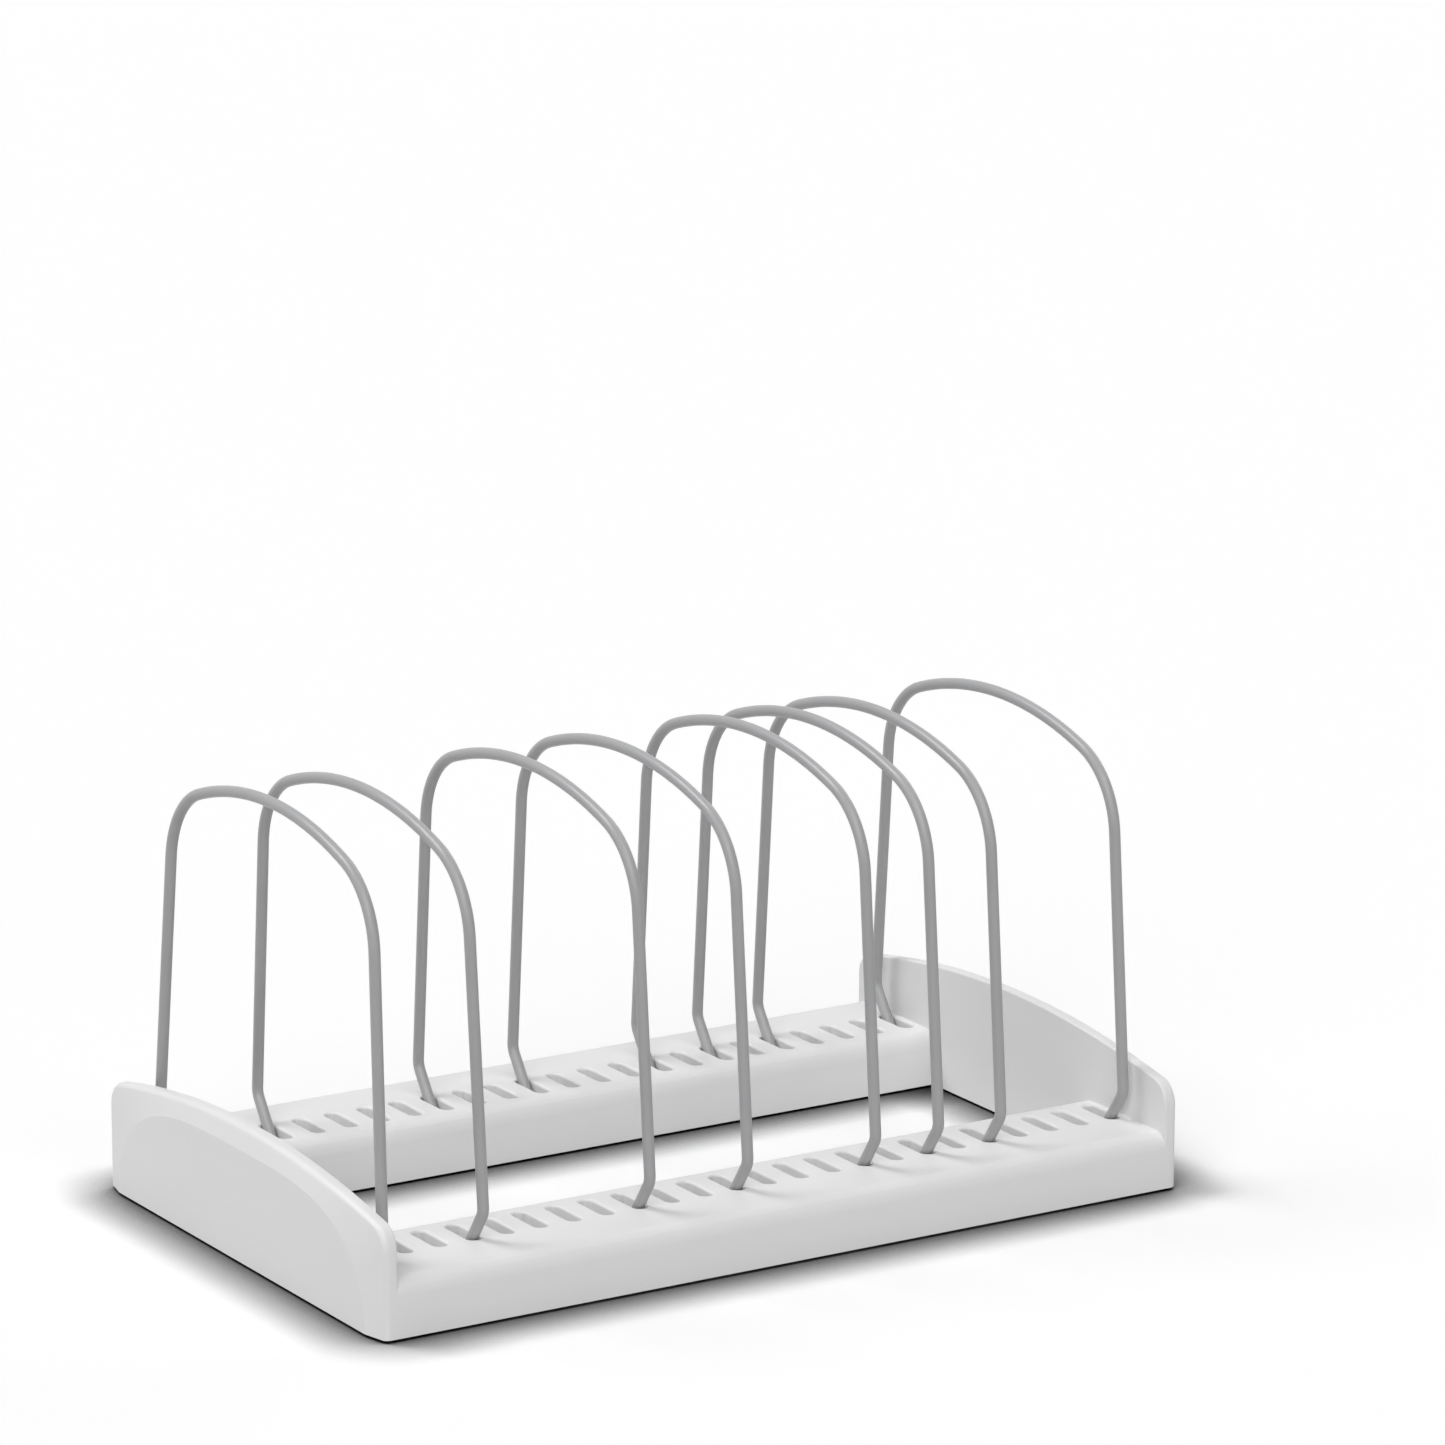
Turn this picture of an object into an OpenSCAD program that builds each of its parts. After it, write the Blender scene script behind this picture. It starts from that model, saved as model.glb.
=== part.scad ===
// Pot lid rack: a hollow moulded frame with two slotted rails and two arched
// end caps, bent wire dividers that plug into the slots, and rubber feet.
// X runs along the rails, Y from the front rail to the back rail, Z up.
// The origin is on the table, under the middle of the frame.

/* [Frame] */
// Width of the frame, across both rails
frame_w = 195; // [160:1:240]
// Width of each rail
rail_w = 50.5; // [47:0.5:60]
// Height of the rails above the frame's lower edge
rail_h = 20; // [18:0.5:30]
// Rounding along the top edges of the rails
rail_r = 6; // [2:0.5:6]
// Wall thickness of the rails
wall = 2.2; // [1.6:0.1:3]

/* [End caps] */
// Thickness of each end cap
cap_t = 7; // [6:0.5:10]
// Height of an end cap in the middle, above the frame's lower edge
cap_h = 47; // [42:1:60]
// Radius of the arch along the top of an end cap
cap_arch_r = 465; // [350:5:800]
// Radius of an end cap's two upper corners
cap_corner_r = 8.5; // [7:0.5:12]
// Width of the sloping border round an end cap's flat outer face
border_w = 7.4; // [6:0.1:8]
// Slope of that border in degrees
border_slope = 17; // [8:1:20]
// Rounding from the border to the edge of the cap
cap_round = 2.5; // [1:0.1:3]
// Rounding of an end cap's inner edge
cap_lip_r = 0.8; // [0.4:0.1:1]
// Skin thickness of the hollow end caps
cap_skin = 2; // [1.6:0.1:2.4]
// Solid rim left round the hollow in an end cap
cap_rim = 6; // [5:0.5:7]

/* [Slots] */
// Distance from one slot to the next
slot_pitch = 12.7; // [11:0.1:16]
// Length of a slot
slot_len = 18.5; // [18:0.5:19.5]
// Distance from a rail's outer side to its slots
slot_in = 23.2; // [22:0.1:24]
// Rounding round the mouth of a slot
mouth_r = 1; // [0.4:0.1:1]
// Gap between an end cap and the nearest slot
slot_end_gap = 1.9; // [1.2:0.1:6]
// Depth of a slot's pocket below the top of the rail
pocket_depth = 15.4; // [12:0.2:15.6]
// Wall and floor thickness of the pockets
pocket_wall = 1.5; // [1:0.1:1.8]

/* [Ribs] */
// Number of slots from one cross rib to the next
rib_every = 4; // [2:1:8]
// Thickness of the cross ribs
rib_t = 1.6; // [1:0.1:2]
// Height of the ribs' lower edge above the frame's lower edge
rib_lift = 3; // [2:0.5:6]

/* [Wire dividers] */
// Diameter of the coated wire
wire_d = 4; // [3:0.1:4.5]
// Play between a wire and the sides of its slot
slot_play = 0.5; // [0.4:0.05:0.8]
// Gap between the end of a foot and the floor of its pocket
foot_gap = 0.3; // [0.2:0.1:0.6]
// Height of the wires above the rails
wire_h = 138; // [110:1:180]
// Radius of the arch along the top of a wire
wire_arch_r = 157; // [120:1:300]
// Radius of a wire's shoulders
shoulder_r = 30; // [15:1:40]
// Outward slope of the legs in degrees
leg_slope = 4.6; // [0:0.1:6]
// Inward slope of the feet in degrees
foot_slope = 35; // [25:1:37]
// Height of the bend between leg and foot above the rail
bend_h = 10.3; // [7:0.1:14]
// Radius of the bend between leg and foot
bend_r = 6; // [4:0.5:12]
// Rounding of the cut ends of the wire
tip_r = 1; // [0.4:0.1:1.2]
// Lean of the first wire in its slots, in degrees
first_lean = 1.5; // [-1.5:0.1:1.5]

/* [Wire places] */
// Slots from the first wire to the second
step_1 = 3; // [1:1:8]
// Slots from the second wire to the third
step_2 = 5; // [1:1:8]
// Slots from the third wire to the fourth
step_3 = 3; // [1:1:8]
// Slots from the fourth wire to the fifth
step_4 = 4; // [1:1:8]
// Slots from the fifth wire to the sixth
step_5 = 2; // [1:1:8]
// Slots from the sixth wire to the seventh
step_6 = 2; // [1:1:8]
// Slots from the seventh wire to the eighth
step_7 = 4; // [1:1:8]

/* [Rubber feet] */
// Diameter of a rubber foot
pad_d = 14; // [10:0.5:15]
// Thickness of a rubber foot's disc
pad_t = 2.4; // [1.6:0.1:3]
// How far a rubber foot stands out below the frame
pad_proud = 1; // [0.5:0.1:1.5]
// Distance from a rail's outer side to the middle of a foot
pad_in = 12; // [11:0.5:13]
// Distance from the end of the frame to the middle of a foot
pad_end = 22; // [20:1:40]
// Diameter of the bore that a foot's stem goes in
stem_bore = 6; // [5:0.5:7]
// Depth of that bore
bore_depth = 9; // [7:0.5:12]
// Length of a foot's stem
stem_len = 7; // [4:0.5:7]
// Play between the stem and its bore
stem_play = 0.3; // [0.2:0.05:0.5]
// Wall thickness of the boss round the bore
boss_wall = 2; // [1.5:0.1:2.5]

/* [Hidden] */
$fn = 48;
cut = 1; // how far a cutting shape runs past the face that it cuts
lap = 0.5; // how far parts of one moulding run into each other

// Where two round stretches of one piece meet end to end, one is a hair
// thinner and runs a little into the other, so that one skin covers both
hair = 0.03;
joint_lap = 0.1;
thin_half = wire_d / 2 - hair;

steps = [step_1, step_2, step_3, step_4, step_5, step_6, step_7];
wire_count = len(steps) + 1;
slot_count = slot_of(wire_count) + 1;
slot_w = wire_d + 2 * slot_play;
frame_l = (slot_count - 1) * slot_pitch + slot_w + 2 * (slot_end_gap + cap_t);

base_z = pad_proud;
rail_top = base_z + rail_h;
pocket_floor = rail_top - pocket_depth;

// The end cap's arch and its upper corners
border = min(border_w, cap_corner_r - lap);
round_space = cap_t - cap_lip_r - joint_lap - border * tan(border_slope);
cap_edge_r = min(cap_round, round_space * cos(border_slope) / (1 - sin(border_slope)));
cap_edge_t = (border - cap_edge_r) * tan(border_slope) + cap_edge_r / cos(border_slope);
cap_arch_z = base_z + cap_h - cap_arch_r;
cap_corner_y = frame_w / 2 - cap_corner_r;
cap_corner_z = cap_arch_z + sqrt(pow(cap_arch_r - cap_corner_r, 2) - pow(cap_corner_y, 2));
cap_corner_a = atan2(cap_corner_z - cap_arch_z, cap_corner_y);

// The wire's centre line in the Y-Z plane, for the half on the back rail.
// The foot passes the rail's top beside the slot's outer end, and the leg
// meets it at the bend's corner point.
foot_y = frame_w / 2 - slot_in - slot_play - wire_d / 2 / cos(foot_slope);
foot_dir = [-sin(foot_slope), -cos(foot_slope)];
leg_up = [-sin(leg_slope), cos(leg_slope)];
leg_inward = [-cos(leg_slope), -sin(leg_slope)];
bend_corner = [foot_y + bend_h * tan(foot_slope), rail_top + bend_h];
bend_reach = bend_r * tan((foot_slope + leg_slope) / 2);
bend_mid = bend_corner + leg_up * bend_reach + leg_inward * bend_r;
foot_start = bend_corner + foot_dir * bend_reach;
tip_drop = (thin_half - tip_r) * sin(foot_slope) + tip_r * (1 - cos(foot_slope));
foot_len = (foot_start[1] - pocket_floor - foot_gap - tip_drop) / cos(foot_slope);

// The shoulder touches the leg on one side and the arch on the other
arch_mid = [0, rail_top + wire_h - wire_d / 2 - wire_arch_r];
shoulder_line = bend_corner + leg_inward * shoulder_r - arch_mid;
along = shoulder_line * leg_up;
rise = sqrt(along * along - shoulder_line * shoulder_line + pow(wire_arch_r - shoulder_r, 2)) - along;
shoulder_mid = bend_corner + leg_inward * shoulder_r + leg_up * rise;
shoulder_a = atan2(shoulder_mid[1] - arch_mid[1], shoulder_mid[0] - arch_mid[0]);

// Slot number of wire i, counted from 0 at the first end cap
function slot_of(i) = i == 1 ? 0 : slot_of(i - 1) + steps[i - 2];

// Place along X of slot k
function slot_x(k) = (k - (slot_count - 1) / 2) * slot_pitch;

// Turns a drawing in Y and Z, with its thickness along X, into the frame
module upright(x) {
    translate([x, 0, 0]) rotate([90, 0, 90]) children();
}

module quarter_disc(r) {
    intersection() {
        square([r, r]);
        circle(r);
    }
}

// Box outline with its two upper corners rounded
module round_top(w, h, r) {
    square([w, h - r]);
    translate([r, h - r]) square([w - 2 * r, r]);
    translate([w - r, h - r]) quarter_disc(r);
    translate([r, h - r]) mirror([1, 0]) quarter_disc(r);
}

// Half of a slot's section, from the middle plane out: a straight pocket
// whose mouth opens in a rounding
module slot_section() {
    flare = slot_w / 2 + mouth_r;
    square([slot_w / 2, pocket_depth - mouth_r]);
    translate([0, pocket_depth - mouth_r])
        difference() {
            square([flare, mouth_r]);
            translate([flare, 0]) circle(mouth_r);
        }
    translate([0, pocket_depth]) square([flare, cut]);
}

// Hollow of one slot along Y, from its outer end at 0, with its floor at 0
module slot_hollow() {
    straight = slot_len - slot_w;
    translate([0, slot_w / 2 + straight, 0]) rotate([90, 0, 0])
        linear_extrude(straight)
            for (side = [0, 1]) mirror([side, 0]) slot_section();
    translate([0, slot_w / 2, 0]) rotate([0, 0, 180]) rotate_extrude(angle = 180) slot_section();
    translate([0, slot_w / 2 + straight, 0]) rotate_extrude(angle = 180) slot_section();
}

module lower_half_disc(r) {
    intersection() {
        circle(r);
        translate([-2 * r, -2 * r]) square([4 * r, 2 * r]);
    }
}

// Section of an end cap's edge, with its skin moved in by thin: the border
// slopes down from the flat face to the rounding, which it meets a hair below
// the tangent. X is the distance past the outline, so the section lies on the
// minus side, and Y goes in from the outer face.
module edge_section(thin = 0) {
    lip_start = cap_t - cap_lip_r;
    round_r = cap_edge_r - thin;
    below = round_r - hair;
    start = ((thin + hair) / cos(border_slope) - thin) / tan(border_slope);
    polygon([
        [-border - lap, thin],
        [-border - start, thin],
        [-cap_edge_r + below * sin(border_slope), cap_edge_t - below * cos(border_slope)],
        [-cap_edge_r, cap_edge_t],
        [-thin, cap_edge_t],
        [-thin, lip_start],
        [-cap_lip_r, lip_start],
        [-cap_lip_r, cap_t - thin],
        [-border - lap, cap_t - thin]
    ]);
    translate([-cap_edge_r, cap_edge_t]) lower_half_disc(round_r);
    translate([-cap_lip_r, lip_start]) quarter_disc(cap_lip_r - thin);
}

// Outline of an end cap, moved in by inset, from height low upwards
module cap_outline(inset, low) {
    far = cap_arch_r + cap_h;
    ray = [cos(cap_corner_a), sin(cap_corner_a)];
    intersection() {
        translate([0, cap_arch_z]) circle(cap_arch_r - inset, $fn = 360);
        polygon([
            [-cap_corner_y, low],
            [cap_corner_y, low],
            [cap_corner_y, cap_corner_z],
            [far * ray[0], cap_arch_z + far * ray[1]],
            [0, cap_arch_z + far],
            [-far * ray[0], cap_arch_z + far * ray[1]],
            [-cap_corner_y, cap_corner_z]
        ]);
    }
    for (side = [0, 1])
        mirror([side, 0]) {
            translate([cap_corner_y, low]) square([cap_corner_r - inset, cap_corner_z - low]);
            translate([cap_corner_y, cap_corner_z])
                intersection() {
                    circle(cap_corner_r - inset);
                    polygon([[0, 0], [cap_h, 0], [cap_h, cap_h], ray * cap_h]);
                }
        }
}

// Face, upper corners and upright edges of an end cap, without its arch
module cap_body() {
    linear_extrude(cap_t) cap_outline(border, base_z);
    for (side = [0, 1])
        mirror([side, 0, 0]) {
            translate([cap_corner_y, cap_corner_z, 0]) rotate_extrude(angle = cap_corner_a)
                translate([cap_corner_r, 0]) edge_section();
            translate([frame_w / 2, cap_corner_z, 0]) rotate([90, 0, 0])
                linear_extrude(cap_corner_z - base_z) edge_section();
        }
}

// One end cap, drawn with its outer face at thickness 0
module end_cap() {
    arch_start = cap_corner_a - joint_lap / cap_arch_r * 180 / PI;
    difference() {
        union() {
            cap_body();
            translate([0, cap_arch_z, 0]) rotate([0, 0, arch_start])
                rotate_extrude(angle = 180 - 2 * arch_start, $fn = 360)
                    translate([cap_arch_r, 0]) edge_section(hair);
        }
        translate([0, 0, cap_skin])
            linear_extrude(cap_t - 2 * cap_skin) cap_outline(cap_rim, base_z - cut);
    }
}

// Drawn for the back rail: Y runs inwards from the rail's outer side
module rail_side() {
    translate([0, frame_w / 2, 0]) mirror([0, 1, 0]) children();
}

module rail_shell() {
    difference() {
        upright(-frame_l / 2 + cap_edge_t)
            linear_extrude(frame_l - 2 * cap_edge_t)
                translate([0, base_z]) round_top(rail_w, rail_h, rail_r);
        upright(-frame_l / 2 + cap_t)
            linear_extrude(frame_l - 2 * cap_t)
                translate([wall, base_z - cut])
                    round_top(rail_w - 2 * wall, rail_h - wall + cut, max(rail_r - wall, cap_lip_r));
    }
}

module pocket_boxes() {
    box_h = pocket_depth + pocket_wall - wall + lap;
    for (k = [0 : slot_count - 1])
        translate([slot_x(k) - slot_w / 2 - pocket_wall, slot_in - pocket_wall, pocket_floor - pocket_wall])
            cube([slot_w + 2 * pocket_wall, slot_len + 2 * pocket_wall, box_h]);
}

module cross_ribs() {
    for (k = [rib_every : rib_every : slot_count - 1])
        translate([slot_x(k - 0.5) - rib_t / 2, wall - lap, base_z + rib_lift])
            cube([rib_t, rail_w - 2 * wall + 2 * lap, rail_h - rib_lift - wall + lap]);
}

module pad_places() {
    for (side = [0, 1])
        mirror([side, 0, 0]) translate([frame_l / 2 - pad_end, pad_in, 0]) children();
}

module slotted_rail() {
    difference() {
        union() {
            rail_shell();
            pocket_boxes();
            cross_ribs();
            pad_places()
                translate([0, 0, pad_t])
                    cylinder(h = rail_top - wall + lap - pad_t, d = stem_bore + 2 * boss_wall);
        }
        for (k = [0 : slot_count - 1])
            translate([slot_x(k), slot_in, pocket_floor]) slot_hollow();
        pad_places()
            translate([0, 0, pad_t - cut]) cylinder(h = bore_depth + cut, d = stem_bore);
    }
}

// The whole moulding: both rails and both end caps in one piece
module base_frame() {
    color("#e8e8e8") {
        for (side = [0, 1]) {
            mirror([0, side, 0]) rail_side() slotted_rail();
            mirror([side, 0, 0]) upright(-frame_l / 2) end_cap();
        }
    }
}

// Bent stretch of wire of radius half round mid, from angle a0 to angle a1
module wire_arc(mid, r, half, a0, a1) {
    translate([mid[0], mid[1], 0]) rotate([0, 0, a0])
        rotate_extrude(angle = a1 - a0, $fn = r > wire_arch_r / 2 ? 240 : 96)
            translate([r, 0]) circle(half, $fn = 24);
}

// Places a rod that is drawn along Z so that it runs from p along dir
module rod_from(p, dir) {
    translate([p[0], p[1], 0]) rotate([0, 0, atan2(dir[1], dir[0])]) rotate([0, 90, 0]) children();
}

// Straight foot with its cut end rounded, as the outline of a turned rod
module foot_section(length) {
    square([thin_half, length - tip_r]);
    translate([0, length - tip_r]) square([thin_half - tip_r, tip_r]);
    translate([thin_half - tip_r, length - tip_r]) quarter_disc(tip_r);
}

// The bends of one side of a divider with the foot and leg between them,
// drawn in the Y-Z plane
module wire_side() {
    leg_start = bend_corner + leg_up * (bend_reach - joint_lap);
    leg_end = shoulder_mid - leg_inward * shoulder_r + leg_up * joint_lap;
    rod_from(foot_start - foot_dir * joint_lap, foot_dir)
        rotate_extrude($fn = 24) foot_section(foot_len + joint_lap);
    wire_arc(bend_mid, bend_r, wire_d / 2, -foot_slope, leg_slope);
    rod_from(leg_start, leg_up) cylinder(h = norm(leg_end - leg_start), r = thin_half, $fn = 24);
    wire_arc(shoulder_mid, shoulder_r, wire_d / 2, leg_slope, shoulder_a);
}

module wire_arch() {
    over = joint_lap / wire_arch_r * 180 / PI;
    wire_arc(arch_mid, wire_arch_r, thin_half, shoulder_a - over, 180 - shoulder_a + over);
}

// One whole bent wire in slot k, leaning about the middle of its pockets
module wire_divider(k, lean = 0) {
    pivot = rail_top - pocket_depth / 2;
    color("#98999b")
        translate([slot_x(k), 0, pivot]) rotate([0, lean, 0]) translate([0, 0, -pivot])
            upright(0) {
                wire_arch();
                for (side = [0, 1]) mirror([side, 0, 0]) wire_side();
            }
}

// Rubber foot n: a disc with a stem that goes up into its boss
module foot_pad(n) {
    side_x = n % 2 == 0 ? 1 : -1;
    side_y = n > 2 ? 1 : -1;
    color("#5b5c5e")
        translate([side_x * (frame_l / 2 - pad_end), side_y * (frame_w / 2 - pad_in), 0]) {
            cylinder(h = pad_t, d = pad_d);
            cylinder(h = pad_t + stem_len, d = stem_bore - 2 * stem_play);
        }
}

base_frame();
for (i = [1 : wire_count])
    wire_divider(slot_of(i), i == 1 ? first_lean : 0);
for (n = [1 : 4])
    foot_pad(n);
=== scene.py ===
# Pot lid rack: white moulded frame, grey coated wire dividers, rubber feet.
# Units are metres. X runs along the rails, Y from the front rail to the back rail.
import bpy
import math
import numpy as np
from mathutils import Matrix, Vector


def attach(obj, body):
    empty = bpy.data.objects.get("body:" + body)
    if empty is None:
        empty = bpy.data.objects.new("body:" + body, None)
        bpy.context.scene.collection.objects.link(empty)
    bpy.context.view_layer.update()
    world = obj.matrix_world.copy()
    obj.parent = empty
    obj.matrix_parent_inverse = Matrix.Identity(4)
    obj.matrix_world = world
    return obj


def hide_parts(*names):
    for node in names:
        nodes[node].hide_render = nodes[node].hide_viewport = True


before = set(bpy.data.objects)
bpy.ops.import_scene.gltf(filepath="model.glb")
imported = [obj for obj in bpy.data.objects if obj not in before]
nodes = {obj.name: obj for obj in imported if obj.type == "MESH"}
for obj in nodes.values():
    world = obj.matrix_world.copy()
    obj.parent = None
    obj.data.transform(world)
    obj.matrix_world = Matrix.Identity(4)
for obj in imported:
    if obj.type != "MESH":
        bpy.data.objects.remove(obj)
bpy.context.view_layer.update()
print("frame loaded:", len(nodes), "CAD nodes")

# The camera stands where the photograph's perspective puts it.
cameraSet = {
    "sensor": 36.0,  # mm
    "lens": 174.38,  # mm
    "place": (-1.18338, -1.97423, 0.74075),
    "forward": (0.50862, 0.82613, -0.24252),
    "seesFrom": 0.05, "seesTo": 60.0,
}


def makeCamera(values):
    data = bpy.data.cameras.new("photoCamera")
    data.sensor_width = values["sensor"]
    data.lens = values["lens"]
    data.clip_start = values["seesFrom"]
    data.clip_end = values["seesTo"]
    camera = bpy.data.objects.new("photoCamera", data)
    bpy.context.scene.collection.objects.link(camera)
    forward = Vector(values["forward"]).normalized()
    right = forward.cross(Vector((0, 0, 1))).normalized()
    up = right.cross(forward)
    turn = Matrix((right, up, -forward)).transposed().to_4x4()
    camera.matrix_world = Matrix.Translation(values["place"]) @ turn
    bpy.context.scene.camera = camera


makeCamera(cameraSet)
bpy.context.scene.view_settings.view_transform = "Standard"
print("camera placed")


# Small helpers for shader trees
def addNode(tree, kind, at=(0, 0), **values):
    node = tree.nodes.new(kind)
    node.location = at
    for name, value in values.items():
        setattr(node, name, value)
    return node


def setInputs(node, **values):
    for name, value in values.items():
        node.inputs[name.replace("_", " ")].default_value = value


def joinMath(tree, operation, a, b, at=(0, 0)):
    node = addNode(tree, "ShaderNodeMath", at, operation=operation)
    for socket, value in zip(node.inputs, (a, b)):
        if isinstance(value, (int, float)):
            socket.default_value = value
        else:
            tree.links.new(value, socket)
    return node.outputs[0]


def mixColour(tree, factor, a, b, at=(0, 0)):
    node = addNode(tree, "ShaderNodeMix", at, data_type="RGBA")
    tree.links.new(factor, node.inputs[0])
    for socket, value in zip(node.inputs[6:8], (a, b)):
        if isinstance(value, tuple):
            socket.default_value = (*value, 1)
        else:
            tree.links.new(value, socket)
    return node.outputs[2]


def newGroup(name, inputs, outputs):
    group = bpy.data.node_groups.new(name, "ShaderNodeTree")
    for label, kind, value in inputs:
        socket = group.interface.new_socket(label, in_out="INPUT", socket_type=kind)
        if value is not None:
            socket.default_value = value
    for label, kind in outputs:
        group.interface.new_socket(label, in_out="OUTPUT", socket_type=kind)
    start = addNode(group, "NodeGroupInput", (-900, 0))
    end = addNode(group, "NodeGroupOutput", (700, 0))
    return group, start, end


# Surface grain of moulded plastic, coating and rubber. Height is fine noise
# plus a share of broader waviness, both from -0.5 to 0.5; Cloud is slow
# variation from 0 to 1.
def makeGrainGroup():
    group, start, end = newGroup(
        "surfaceGrain",
        [("Vector", "NodeSocketVector", None), ("Grain size", "NodeSocketFloat", 0.0004),
         ("Wave size", "NodeSocketFloat", 0.004), ("Wave share", "NodeSocketFloat", 0.5),
         ("Cloud size", "NodeSocketFloat", 0.03)],
        [("Height", "NodeSocketFloat"), ("Cloud", "NodeSocketFloat")])

    def noise(sizeName, detail, at):
        scale = joinMath(group, "DIVIDE", 1.0, start.outputs[sizeName], (at[0] - 200, at[1]))
        node = addNode(group, "ShaderNodeTexNoise", at)
        setInputs(node, Detail=detail, Roughness=0.55)
        group.links.new(start.outputs["Vector"], node.inputs["Vector"])
        group.links.new(scale, node.inputs["Scale"])
        return node.outputs["Fac"]

    fine = joinMath(group, "SUBTRACT", noise("Grain size", 2.0, (-300, 200)), 0.5, (0, 200))
    wave = joinMath(group, "SUBTRACT", noise("Wave size", 1.0, (-300, 0)), 0.5, (0, 0))
    share = joinMath(group, "MULTIPLY", wave, start.outputs["Wave share"], (200, 0))
    group.links.new(joinMath(group, "ADD", fine, share, (400, 100)), end.inputs["Height"])
    group.links.new(noise("Cloud size", 2.0, (-300, -250)), end.inputs["Cloud"])
    return group


# Dust that settles on upward faces in soft patches. Amount is 0 on clean
# surface and up to Strength where the face looks up and the patch is dense.
def makeDustGroup():
    group, start, end = newGroup(
        "settledDust",
        [("Vector", "NodeSocketVector", None), ("Patch size", "NodeSocketFloat", 0.02),
         ("Strength", "NodeSocketFloat", 0.1)],
        [("Amount", "NodeSocketFloat")])
    geometry = addNode(group, "ShaderNodeNewGeometry", (-700, -200))
    split = addNode(group, "ShaderNodeSeparateXYZ", (-500, -200))
    group.links.new(geometry.outputs["Normal"], split.inputs[0])
    facing = joinMath(group, "MAXIMUM", split.outputs["Z"], 0.0, (-300, -200))
    scale = joinMath(group, "DIVIDE", 1.0, start.outputs["Patch size"], (-500, 150))
    patch = addNode(group, "ShaderNodeTexNoise", (-300, 150))
    setInputs(patch, Detail=4.0, Roughness=0.6)
    group.links.new(start.outputs["Vector"], patch.inputs["Vector"])
    group.links.new(scale, patch.inputs["Scale"])
    ramp = addNode(group, "ShaderNodeMapRange", (-100, 150))
    setInputs(ramp, From_Min=0.4, From_Max=0.75)
    group.links.new(patch.outputs["Fac"], ramp.inputs["Value"])
    amount = joinMath(group, "MULTIPLY", ramp.outputs["Result"], facing, (150, 0))
    group.links.new(joinMath(group, "MULTIPLY", amount, start.outputs["Strength"], (350, 0)),
                    end.inputs["Amount"])
    return group


grainGroup = makeGrainGroup()
dustGroup = makeDustGroup()
print("shader groups ready")


# One finish: Principled surface whose colour and roughness drift slowly with
# the cloud, with a little dust on top and the grain as bump.
def makeFinish(values, name):
    material = bpy.data.materials.new(name)
    material.use_nodes = True
    tree = material.node_tree
    tree.nodes.clear()
    output = addNode(tree, "ShaderNodeOutputMaterial", (900, 0))
    surface = addNode(tree, "ShaderNodeBsdfPrincipled", (600, 0))
    tree.links.new(surface.outputs[0], output.inputs["Surface"])
    coords = addNode(tree, "ShaderNodeTexCoord", (-900, 0))
    grain = addNode(tree, "ShaderNodeGroup", (-600, 0), node_tree=grainGroup)
    dust = addNode(tree, "ShaderNodeGroup", (-600, -300), node_tree=dustGroup)
    for label in ("Grain size", "Wave size", "Wave share", "Cloud size"):
        grain.inputs[label].default_value = values[label]
    dust.inputs["Patch size"].default_value = values["Patch size"]
    dust.inputs["Strength"].default_value = values["Dust"]
    for group in (grain, dust):
        tree.links.new(coords.outputs["Object"], group.inputs["Vector"])

    tint = mixColour(tree, grain.outputs["Cloud"], values["darkColour"], values["lightColour"],
                     (-200, 200))
    dusty = mixColour(tree, dust.outputs["Amount"], tint, values["dustColour"], (100, 200))
    tree.links.new(dusty, surface.inputs["Base Color"])

    drift = joinMath(tree, "MULTIPLY", grain.outputs["Cloud"], values["roughnessDrift"], (-200, -50))
    rough = joinMath(tree, "ADD", drift, values["roughness"], (0, -50))
    worn = joinMath(tree, "ADD", rough, dust.outputs["Amount"], (200, -50))
    tree.links.new(worn, surface.inputs["Roughness"])
    surface.inputs["IOR"].default_value = values["ior"]
    bump = addNode(tree, "ShaderNodeBump", (300, -300))
    bump.inputs["Distance"].default_value = values["grainDepth"]
    bump.inputs["Strength"].default_value = 1.0
    tree.links.new(grain.outputs["Height"], bump.inputs["Height"])
    tree.links.new(bump.outputs["Normal"], surface.inputs["Normal"])
    return material


# Satin white moulding
framePlastic = {
    "darkColour": (0.815, 0.815, 0.815), "lightColour": (0.84, 0.84, 0.838),
    "dustColour": (0.66, 0.65, 0.63), "Dust": 0.03, "Patch size": 0.012,
    "roughness": 0.40, "roughnessDrift": 0.08, "ior": 1.46,
    "Grain size": 0.0005, "Wave size": 0.006, "Wave share": 1.5, "Cloud size": 0.05,
    "grainDepth": 0.00001,
}

# Grey powder coating on the wires, with a fine orange peel
wireCoating = {
    "darkColour": (0.365, 0.365, 0.373), "lightColour": (0.405, 0.405, 0.413),
    "dustColour": (0.52, 0.51, 0.50), "Dust": 0.04, "Patch size": 0.008,
    "roughness": 0.30, "roughnessDrift": 0.08, "ior": 1.5,
    "Grain size": 0.0004, "Wave size": 0.0011, "Wave share": 1.2, "Cloud size": 0.02,
    "grainDepth": 0.000015,
}

# Dark rubber of the feet
footRubber = {
    "darkColour": (0.085, 0.085, 0.088), "lightColour": (0.115, 0.115, 0.118),
    "dustColour": (0.3, 0.29, 0.27), "Dust": 0.1, "Patch size": 0.003,
    "roughness": 0.70, "roughnessDrift": 0.15, "ior": 1.45,
    "Grain size": 0.0003, "Wave size": 0.002, "Wave share": 0.6, "Cloud size": 0.006,
    "grainDepth": 0.00003,
}

plasticFinish = makeFinish(framePlastic, "framePlastic")
coatingFinish = makeFinish(wireCoating, "wireCoating")
rubberFinish = makeFinish(footRubber, "footRubber")
print("finishes ready")


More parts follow.
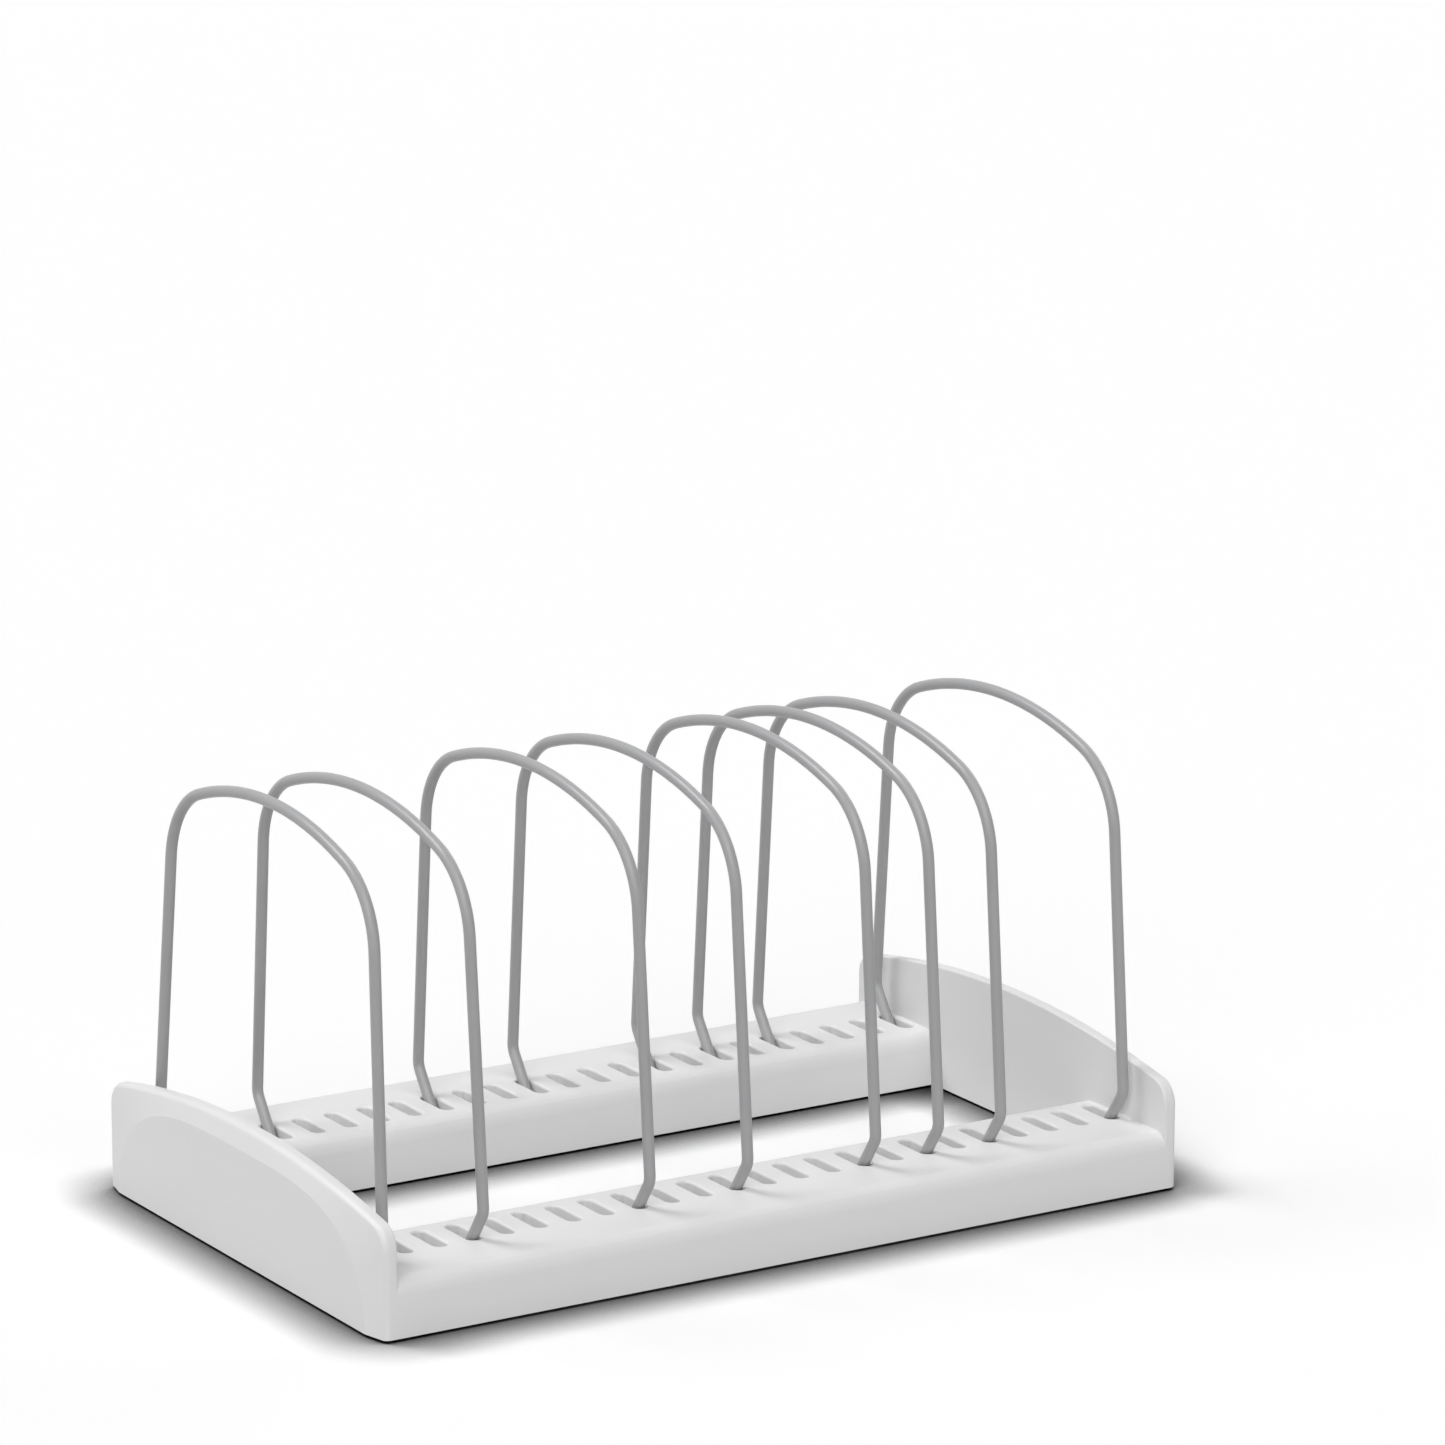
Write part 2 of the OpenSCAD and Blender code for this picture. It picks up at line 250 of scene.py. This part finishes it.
def newPiece(name, points, faces, material, node):
    mesh = bpy.data.meshes.new(name)
    mesh.from_pydata(points, [], faces)
    mesh.update()
    mesh.materials.append(material)
    piece = bpy.data.objects.new(name, mesh)
    bpy.context.scene.collection.objects.link(piece)
    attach(piece, "root")
    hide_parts(node)
    return piece


# Eight equal wires, each standing in one slot of both rails
wireSet = {
    "thickness": 0.004,  # full thickness, from which the centre line is worked out
    "coatedRadius": 0.00197,  # radius of the tube round it
    "railTop": 0.021,
    "height": 0.138,  # above the rails
    "archRadius": 0.157,
    "shoulderRadius": 0.030,
    "legSlope": 4.6,  # degrees
    "footSlope": 35.0,  # degrees
    "bendHeight": 0.0103,
    "bendRadius": 0.006,
    "tipRadius": 0.001,
    "footEntry": 0.0738,  # Y of the foot's outer side where it passes the rail's top
    "footBottom": 0.0059,
    "slotPitch": 0.0127,
    "slotCount": 24,
    "slots": (1, 4, 9, 12, 16, 18, 20, 24),
    "firstLean": 1.5,  # degrees that the first wire tilts towards +X
    "leanPivot": 0.0133,  # height about which it tilts, the middle of the pockets
    "sides": 28,
    "step": 3.0,  # degrees from ring to ring in the bends and shoulders
    "archStep": 0.75,  # and in the arch
    "tipRings": 6, "footRings": 6, "legRings": 24,
}


# Points of an arc round mid from angle start to end, in radians, and the
# directions along it
def arcLine(mid, radius, start, end, step):
    count = max(2, round(abs(math.degrees(end - start)) / step) + 1)
    angle = np.linspace(start, end, count)[:, None]
    ring = np.hstack([np.cos(angle), np.sin(angle)])
    return mid + radius * ring, np.hstack([-np.sin(angle), np.cos(angle)])


# The centre line in the Y-Z plane for Y from the near tip to the far tip: a
# straight foot, an arc for the bend, a straight leg, an arc for the shoulder
# that touches both the leg and the arch, the arch, and the same mirrored.
# Returns the points, the directions along the line and the tube's radius.
def dividerLine(values):
    half, tube = values["thickness"] / 2, values["coatedRadius"]
    foot, leg = math.radians(values["footSlope"]), math.radians(values["legSlope"])
    footDir = np.array([-math.sin(foot), -math.cos(foot)])
    legUp = np.array([-math.sin(leg), math.cos(leg)])
    inward = np.array([-math.cos(leg), -math.sin(leg)])
    rise, bend, shoulder = values["bendHeight"], values["bendRadius"], values["shoulderRadius"]
    footY = values["footEntry"] - half / math.cos(foot)
    corner = np.array([footY + rise * math.tan(foot), values["railTop"] + rise])
    reach = bend * math.tan((foot + leg) / 2)
    bendMid = corner + legUp * reach + inward * bend
    bendStart = corner + footDir * reach
    tipRound = values["tipRadius"]
    drop = (tube - tipRound) * math.sin(foot) + tipRound * (1 - math.cos(foot))
    tip = bendStart + footDir * (bendStart[1] - values["footBottom"] - drop) / math.cos(foot)
    arch = values["archRadius"]
    archMid = np.array([0, values["railTop"] + values["height"] - half - arch])
    across = corner + inward * shoulder - archMid
    along = across @ legUp
    up = math.sqrt(along ** 2 - across @ across + (arch - shoulder) ** 2) - along
    shoulderMid = corner + inward * shoulder + legUp * up
    meet = math.atan2(*(shoulderMid - archMid)[::-1])

    # the rounded tip: a quarter circle from the cut face out to the full radius
    quarter = np.linspace(0, math.pi / 2, values["tipRings"])
    tipRadius = tube - tipRound + tipRound * np.sin(quarter)
    tipPoints = tip - footDir * (tipRound * (1 - np.cos(quarter)))[:, None]
    footSteps = np.linspace(0, 1, values["footRings"])[1:-1, None]
    straightFoot = tipPoints[-1] + (bendStart - tipPoints[-1]) * footSteps
    bendPoints, bendWay = arcLine(bendMid, bend, -foot, leg, values["step"])
    shoulderPoints, shoulderWay = arcLine(shoulderMid, shoulder, leg, meet, values["step"])
    legSteps = np.linspace(0, 1, values["legRings"])[1:-1, None]
    legPoints = bendPoints[-1] + (shoulderPoints[0] - bendPoints[-1]) * legSteps
    archPoints, archWay = arcLine(archMid, arch, meet, math.pi / 2, values["archStep"])
    points = np.vstack([tipPoints, straightFoot, bendPoints, legPoints, shoulderPoints, archPoints[1:]])
    ways = np.vstack([np.tile(-footDir, (len(tipPoints) + len(straightFoot), 1)), bendWay,
                      np.tile(legUp, (len(legPoints), 1)), shoulderWay, archWay[1:]])
    radii = np.full(len(points), tube)
    radii[:len(tipRadius)] = tipRadius
    mirror = np.array([-1, 1])
    points = np.vstack([points, (points * mirror)[-2::-1]])
    ways = np.vstack([ways, (ways * -mirror)[-2::-1]])
    return points, ways, np.concatenate([radii, radii[-2::-1]])


# A tube round the centre line: the point at angle t of a ring lies r sin t
# along X and r cos t square to the line from its middle, where r is the tube's
# radius there. A flat disc closes each end. The wire is then tilted by lean
# about its pivot and set at its place along X.
def dividerMesh(values, place, lean):
    line, ways, radii = dividerLine(values)
    sides = values["sides"]
    angle = np.linspace(0, 2 * math.pi, sides, endpoint=False)
    normal = np.stack([ways[:, 1], -ways[:, 0]], axis=1)
    off = radii[:, None] * np.cos(angle)
    ring = np.empty((len(line), sides, 3))
    ring[..., 0] = radii[:, None] * np.sin(angle)
    ring[..., 1:] = line[:, None, :] + off[..., None] * normal[:, None, :]
    tilt = math.radians(lean)
    x, z = ring[..., 0].copy(), ring[..., 2] - values["leanPivot"]
    ring[..., 0] = place + x * math.cos(tilt) + z * math.sin(tilt)
    ring[..., 2] = values["leanPivot"] - x * math.sin(tilt) + z * math.cos(tilt)
    row, col = np.meshgrid(np.arange(len(line) - 1), np.arange(sides), indexing="ij")
    after = (col + 1) % sides
    ringStart, nextStart = row * sides, (row + 1) * sides
    quads = np.stack([nextStart + col, nextStart + after, ringStart + after, ringStart + col], axis=-1)
    last = (len(line) - 1) * sides
    discs = [list(range(sides)), list(range(last, last + sides))[::-1]]
    return ring.reshape(-1, 3), quads.reshape(-1, 4).tolist() + discs


def makeDividers(values):
    middle = (values["slotCount"] + 1) / 2
    for number, slot in enumerate(values["slots"], 1):
        lean = values["firstLean"] if number == 1 else 0.0
        points, faces = dividerMesh(values, (slot - middle) * values["slotPitch"], lean)
        piece = newPiece(f"wireDivider{number}", points.tolist(), faces, coatingFinish,
                         f"wire_divider_{number}")
        piece.data.polygons.foreach_set("use_smooth", [len(face) == 4 for face in faces])
    print("wire dividers made:", len(values["slots"]))


makeDividers(wireSet)


# The frame keeps its CAD shape, apart from the outer side of its end caps. Its
# loose triangles are joined into one skin, so that light runs smoothly over
# flats and roundings, and each cap gets a dressing. Depths are measured from
# the caps' outer side inwards along X.
frameSet = {
    "sharpAngle": 32.0,  # degrees, past which two faces meet in a crease
    "joinWithin": 1e-7,
    "skinBelow": 0.0005,  # how far the skin is sunk under the dressings
    "skinDepth": 0.0014,  # least depth that it is sunk from
    "edgeMargin": 0.00001,  # how far the sunk skin stays short of a cap's edge
    "hollowDepth": 0.002,  # depth of the hollow's end face, which isn't sunk
    "hollowMargin": 1e-6,
}

# Outer side of an end cap: a flat panel whose edge is a superellipse, a slope
# from there out to the cap's outline, and a rounding into its edge. The border
# is narrow along the arch and broad at the corners.
capSet = {
    "outerX": 0.15745,
    "halfWidth": 0.0975,
    "low": 0.00105,  # lower side of the dressing, just above that of the frame
    "archTop": 0.048, "archRadius": 0.465, "cornerRadius": 0.0085,
    "panelHalf": 0.08745, "panelTop": 0.04046, "panelPowers": (3.67, 2.23),
    "borderWidth": 0.0074, "borderSlope": 17.0,  # degrees, both of the CAD cap
    "edgeRadius": 0.0025,
    "backInset": 0.0055, "backDepth": 0.0019,  # the hidden back of the dressing
    "uprightSteps": 22, "cornerSteps": 18, "archSteps": 64,
    "roundSteps": 8, "slopeSteps": 3, "panelSteps": 6000,
}


# Depth at which the sloping border and the cap's edge would meet, and depth at
# which the rounding of radius r between them ends on the edge: w tan s, and
# (w - r) tan s + r / cos s, for a border of width w and slope s
def capDepths(values):
    width, radius = values["borderWidth"], values["edgeRadius"]
    slope = math.radians(values["borderSlope"])
    edge = (width - radius) * math.tan(slope) + radius / math.cos(slope)
    return width * math.tan(slope), edge


# Sinks the outer side of the caps to just under their dressings. The edges and
# the end faces of the hollows stay where they are.
def sunkSkin(points, values, cap):
    depth = cap["outerX"] - np.abs(points[:, 0])
    deepest = capDepths(cap)[1] - values["edgeMargin"]
    hollow = np.abs(depth - values["hollowDepth"]) <= values["hollowMargin"]
    sunkDepth = np.maximum(depth, values["skinDepth"]) + values["skinBelow"]
    sunkX = np.sign(points[:, 0]) * (cap["outerX"] - np.minimum(sunkDepth, deepest))
    x = np.where((depth < deepest) & ~hollow, sunkX, points[:, 0])
    return np.column_stack([x, points[:, 1:]])


# The CAD skin with its caps sunk. Corners in one place become one point, and
# triangles that have lost a side are dropped.
def joinedSkin(source, values, cap):
    mesh = source.data
    points = np.empty(len(mesh.vertices) * 3)
    mesh.vertices.foreach_get("co", points)
    points = sunkSkin(points.reshape(-1, 3), values, cap)
    corners = np.empty(len(mesh.loops), dtype=np.int64)
    mesh.loops.foreach_get("vertex_index", corners)
    grid = np.round(points / values["joinWithin"]).astype(np.int64)
    _, first, place = np.unique(grid, axis=0, return_index=True, return_inverse=True)
    faces = place.ravel()[corners].reshape(-1, 3)
    good = (faces[:, 0] != faces[:, 1]) & (faces[:, 1] != faces[:, 2]) & (faces[:, 2] != faces[:, 0])
    return points[first], faces[good]


# The cap's outline in Y and Z, from the lower end at +Y over the arch to the
# lower end at -Y: an upright, a quarter turn less the arch's slope, the arch.
def capOutline(values):
    corner, arch = values["cornerRadius"], values["archRadius"]
    middle = values["archTop"] - arch
    cornerY = values["halfWidth"] - corner
    cornerZ = middle + math.sqrt((arch - corner) ** 2 - cornerY ** 2)
    turn = math.atan2(cornerZ - middle, cornerY)
    rise = np.linspace(values["low"], cornerZ, values["uprightSteps"])[:-1, None]
    upright = np.hstack([np.full_like(rise, values["halfWidth"]), rise])
    angle = np.linspace(0, turn, values["cornerSteps"])[:-1, None]
    bend = (cornerY, cornerZ) + corner * np.hstack([np.cos(angle), np.sin(angle)])
    angle = np.linspace(turn, math.pi / 2, values["archSteps"])[:, None]
    top = (0, middle) + arch * np.hstack([np.cos(angle), np.sin(angle)])
    half = np.vstack([upright, bend, top])
    return np.vstack([half, (half * (-1, 1))[-2::-1]])


# The panel's edge |y/a|^m + |z/b|^n = 1, and on it the point nearest to each
# point of the outline
def panelEdge(values, outline):
    powerY, powerZ = values["panelPowers"]
    angle = np.linspace(0, math.pi / 2, values["panelSteps"])
    edge = np.stack([values["panelHalf"] * np.cos(angle) ** (2 / powerY),
                     values["panelTop"] * np.sin(angle) ** (2 / powerZ)], axis=1)
    edge = edge[edge[:, 1] >= values["low"]]
    edge[0, 1] = values["low"]
    gaps = ((np.abs(outline)[:, None, :] - edge[None, :, :]) ** 2).sum(axis=2)
    near = edge[gaps.argmin(axis=1)]
    near[:, 0] *= np.where(outline[:, 0] < 0, -1, 1)
    near[[0, -1], 1] = values["low"]
    return near


# Rows of points from the back of the dressing round the outline to the panel.
# Across the border a row has an arc that touches the edge of the cap and the
# slope, then the straight slope: in an arc of radius r that starts at depth e,
# the point at angle t is r (1 - cos t) in from the outline at depth e - r sin t.
def capRows(values):
    outline = capOutline(values)
    panel = panelEdge(values, outline)
    meetDepth, edgeDepth = capDepths(values)
    width = np.linalg.norm(panel - outline, axis=1)
    inward = (panel - outline) / width[:, None]
    slope = np.arctan2(meetDepth, width)
    radius = (edgeDepth - meetDepth) / np.tan(math.pi / 4 - slope / 2)
    turn = (math.pi / 2 - slope)[:, None] * np.linspace(0, 1, values["roundSteps"])
    arcIn = radius[:, None] * (1 - np.cos(turn))
    arcDepth = edgeDepth - radius[:, None] * np.sin(turn)
    part = np.linspace(0, 1, values["slopeSteps"] + 1)[1:]
    slopeIn = arcIn[:, -1:] + (width[:, None] - arcIn[:, -1:]) * part
    slopeDepth = arcDepth[:, -1:] * (1 - part)
    backIn = np.full((len(outline), 2), values["backInset"])
    backDepth = np.tile([values["backDepth"], edgeDepth], (len(outline), 1))
    far = np.hstack([backIn, arcIn, slopeIn])
    depth = np.hstack([backDepth, arcDepth, slopeDepth])
    place = outline[:, None, :] + inward[:, None, :] * far[..., None]
    return np.concatenate([(values["outerX"] - depth)[..., None], place], axis=2)


# Closed dressing of one end cap: the rows, the panel, a flat back and the lower
# side. Side is 1 for the cap at +X and -1 for the other.
def capDressing(values, side):
    rows = capRows(values)
    count, across = rows.shape[:2]
    points = rows.reshape(-1, 3) * (side, 1, 1)
    row, col = np.meshgrid(np.arange(count - 1), np.arange(across - 1), indexing="ij")
    first = row * across + col
    quads = np.stack([first, first + across, first + across + 1, first + 1], axis=-1).reshape(-1, 4)
    starts = np.arange(count) * across
    panel = (starts + across - 1).tolist()
    back = starts[::-1].tolist()
    lower = list(range(across)) + list(range(starts[-1], starts[-1] + across))[::-1]
    faces = quads.tolist() + [panel, back, lower]
    if side < 0:
        faces = [face[::-1] for face in faces]
    return points, faces, panel


# Marks the edges between the listed pairs of points as sharp
def markSharp(mesh, pairs):
    def keys(ends):
        ends = np.sort(ends, axis=1).astype(np.int64)
        return ends[:, 0] * len(mesh.vertices) + ends[:, 1]

    ends = np.empty(len(mesh.edges) * 2, dtype=np.int32)
    mesh.edges.foreach_get("vertices", ends)
    sharp = np.empty(len(mesh.edges), dtype=bool)
    mesh.edges.foreach_get("use_edge_sharp", sharp)
    sharp |= np.isin(keys(ends.reshape(-1, 2)), keys(pairs))
    mesh.edges.foreach_set("use_edge_sharp", sharp)


def makeFrameSkin(values, cap):
    points, faces = joinedSkin(nodes["base_frame"], values, cap)
    allPoints, allFaces, rims = [points], faces.tolist(), []
    start = len(points)
    for side in (-1, 1):
        capPoints, capFaces, panel = capDressing(cap, side)
        allPoints.append(capPoints)
        allFaces += [[start + corner for corner in face] for face in capFaces]
        rims.append(start + np.stack([panel[:-1], panel[1:]], axis=1))
        start += len(capPoints)
    piece = newPiece("frameMoulding", np.vstack(allPoints).tolist(), allFaces, plasticFinish,
                     "base_frame")
    mesh = piece.data
    mesh.polygons.foreach_set("use_smooth", [True] * len(allFaces))
    mesh.set_sharp_from_angle(angle=math.radians(values["sharpAngle"]))
    markSharp(mesh, np.vstack(rims))
    smooth = piece.modifiers.new("evenNormals", "WEIGHTED_NORMAL")
    smooth.keep_sharp = True
    smooth.weight = 100
    print("frame skin made:", len(allFaces), "faces")


makeFrameSkin(frameSet, capSet)

for name, node in nodes.items():
    if name.startswith("foot_pad"):
        node.data.materials.clear()
        node.data.materials.append(rubberFinish)
print("feet finished")

# Plain pale floor and soft studio light
studioSet = {
    "floorBounce": (0.65, 0.65, 0.65),  # the colour that lights the rack from below
    "floorColour": (1.0, 1.0, 1.0),  # the colour that is seen
    "floorLift": 0.075,  # glow that is only seen
    "paintedShadowReach": 0.025,  # how far out the painted shadow darkens the seen floor round the rack
    "paintedShadowPower": 2.8,  # power that deepens the painted shadow
    "paintedShadowSamples": 8,
    "floorReach": 12.0,
    "floorLow": -0.0001,
    "worldStrength": 0.06,
    # Strength, where a facing surface gets 1 at 3.14; width in degrees, which
    # sets how soft the shadows are; degrees round from +X; degrees up
    "lamps": {
        "keyLight": (1.47, 28.0, 130.0, 52.0),
        "frontLight": (1.07, 40.0, 225.0, 35.0),
        "overheadLight": (0.77, 40.0, 270.0, 60.0),
        "lowLight": (0.24, 25.0, 270.0, 12.0),
        "sideLight": (0.42, 40.0, 20.0, 30.0),
    },
}


# 1 for rays that show the background: from the camera, mirrored or through glass
def seenDirectly(tree):
    path = addNode(tree, "ShaderNodeLightPath", (-700, 0))
    seen = joinMath(tree, "MAXIMUM", path.outputs["Is Camera Ray"], path.outputs["Is Glossy Ray"],
                    (-500, 0))
    return joinMath(tree, "MAXIMUM", seen, path.outputs["Is Transmission Ray"], (-300, 0))


# The seen floor is its colour times the open share of the sky close by, raised to a power. This is a
# painted contact shadow, darkest along the rack's lower edges, and the glow that is only seen fades
# with it.
def makeFloor(values):
    mesh = bpy.data.meshes.new("studioFloor")
    far, low = values["floorReach"], values["floorLow"]
    corners = [(-far, -far, low), (far, -far, low), (far, far, low), (-far, far, low)]
    mesh.from_pydata(corners, [], [(0, 1, 2, 3)])
    floor = bpy.data.objects.new("studioFloor", mesh)
    bpy.context.scene.collection.objects.link(floor)
    material = bpy.data.materials.new("studioFloor")
    material.use_nodes = True
    tree = material.node_tree
    surface = tree.nodes["Principled BSDF"]
    surface.inputs["Roughness"].default_value = 1.0
    surface.inputs["Specular IOR Level"].default_value = 0.0
    surface.inputs["Emission Color"].default_value = (1, 1, 1, 1)
    seen = seenDirectly(tree)
    # Painted shadow: the seen floor darkens where the rack hides the sky close by
    paintedShadowOcclusion = addNode(tree, "ShaderNodeAmbientOcclusion", (-900, 400), samples=values["paintedShadowSamples"])
    paintedShadowOcclusion.inputs["Distance"].default_value = values["paintedShadowReach"]
    clear = joinMath(tree, "POWER", paintedShadowOcclusion.outputs["AO"], values["paintedShadowPower"], (-700, 400))
    floorWithPaintedShadow = mixColour(tree, clear, (0.0, 0.0, 0.0), values["floorColour"], (-300, 400))
    colour = mixColour(tree, seen, values["floorBounce"], floorWithPaintedShadow, (-100, 200))
    tree.links.new(colour, surface.inputs["Base Color"])
    # The only-seen glow fades in the same painted shadow
    lift = joinMath(tree, "MULTIPLY", clear, values["floorLift"], (-300, -200))
    glow = joinMath(tree, "MULTIPLY", seen, lift, (-100, -200))
    tree.links.new(glow, surface.inputs["Emission Strength"])
    mesh.materials.append(material)


def makeWorld(values):
    world = bpy.data.worlds.new("studioWorld")
    bpy.context.scene.world = world
    world.use_nodes = True
    tree = world.node_tree
    background = tree.nodes["Background"]
    background.inputs["Color"].default_value = (1, 1, 1, 1)
    rest = joinMath(tree, "MULTIPLY", seenDirectly(tree), 1 - values["worldStrength"], (-100, 0))
    tree.links.new(joinMath(tree, "ADD", rest, values["worldStrength"], (50, 0)),
                   background.inputs["Strength"])


def makeLamps(values):
    for name, (strength, width, around, above) in values["lamps"].items():
        data = bpy.data.lights.new(name, "SUN")
        data.energy = strength
        data.angle = math.radians(width)
        lamp = bpy.data.objects.new(name, data)
        lamp.rotation_euler = (0, math.radians(90 - above), math.radians(around))
        bpy.context.scene.collection.objects.link(lamp)


makeFloor(studioSet)
makeWorld(studioSet)
makeLamps(studioSet)
print("studio ready")
